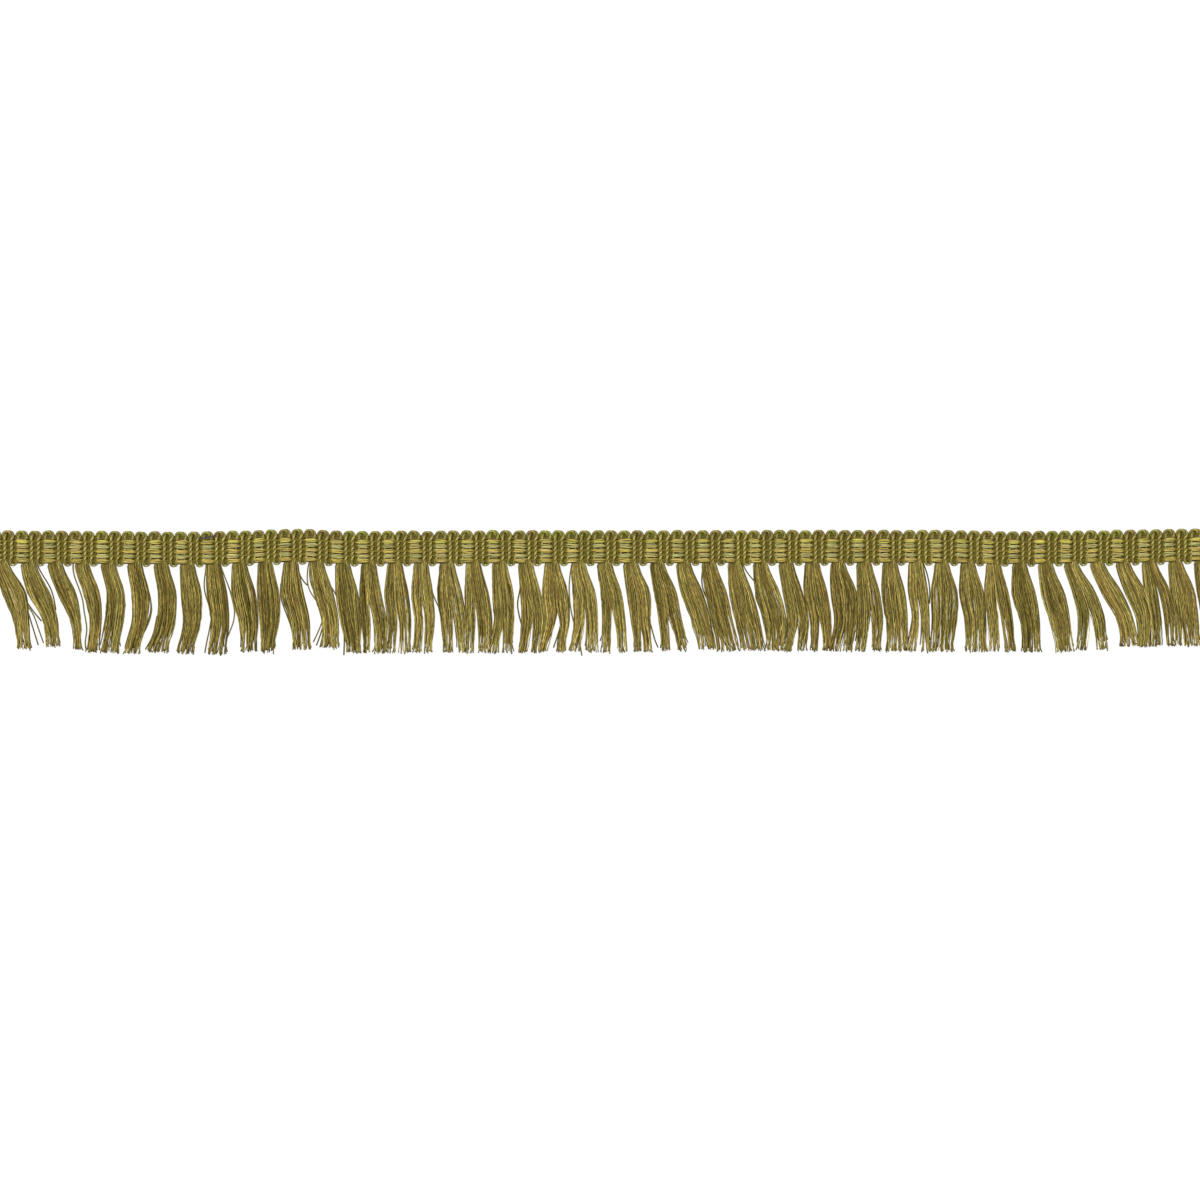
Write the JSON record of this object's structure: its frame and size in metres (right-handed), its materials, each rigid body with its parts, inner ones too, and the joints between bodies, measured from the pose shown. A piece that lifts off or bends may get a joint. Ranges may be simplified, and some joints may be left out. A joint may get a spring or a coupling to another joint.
{
  "type": "fringe trim",
  "caption": "Cut length of olive woven fringe trim: a narrow ribbed heading with a looped top edge and gold floats, over a skirt of cut yarn locks.",
  "frame": {"origin": "middle of the heading's back face, on the line along which the trim is sewn or glued on", "axes": "+X along the trim, +Y up its face from the fringe to the looped edge, +Z out of its face"},
  "size_m": [0.36, 0.0364, 0.002],
  "materials": {
    "heading_yarn": "soft twisted olive yarn with satin gold and sage floats",
    "fringe_yarn": "soft matt twisted olive yarn with cut ends"
  },
  "bodies": {
    "root": {"heading": "heading_yarn", "fringe": "fringe_yarn"}
  },
  "joints": []
}
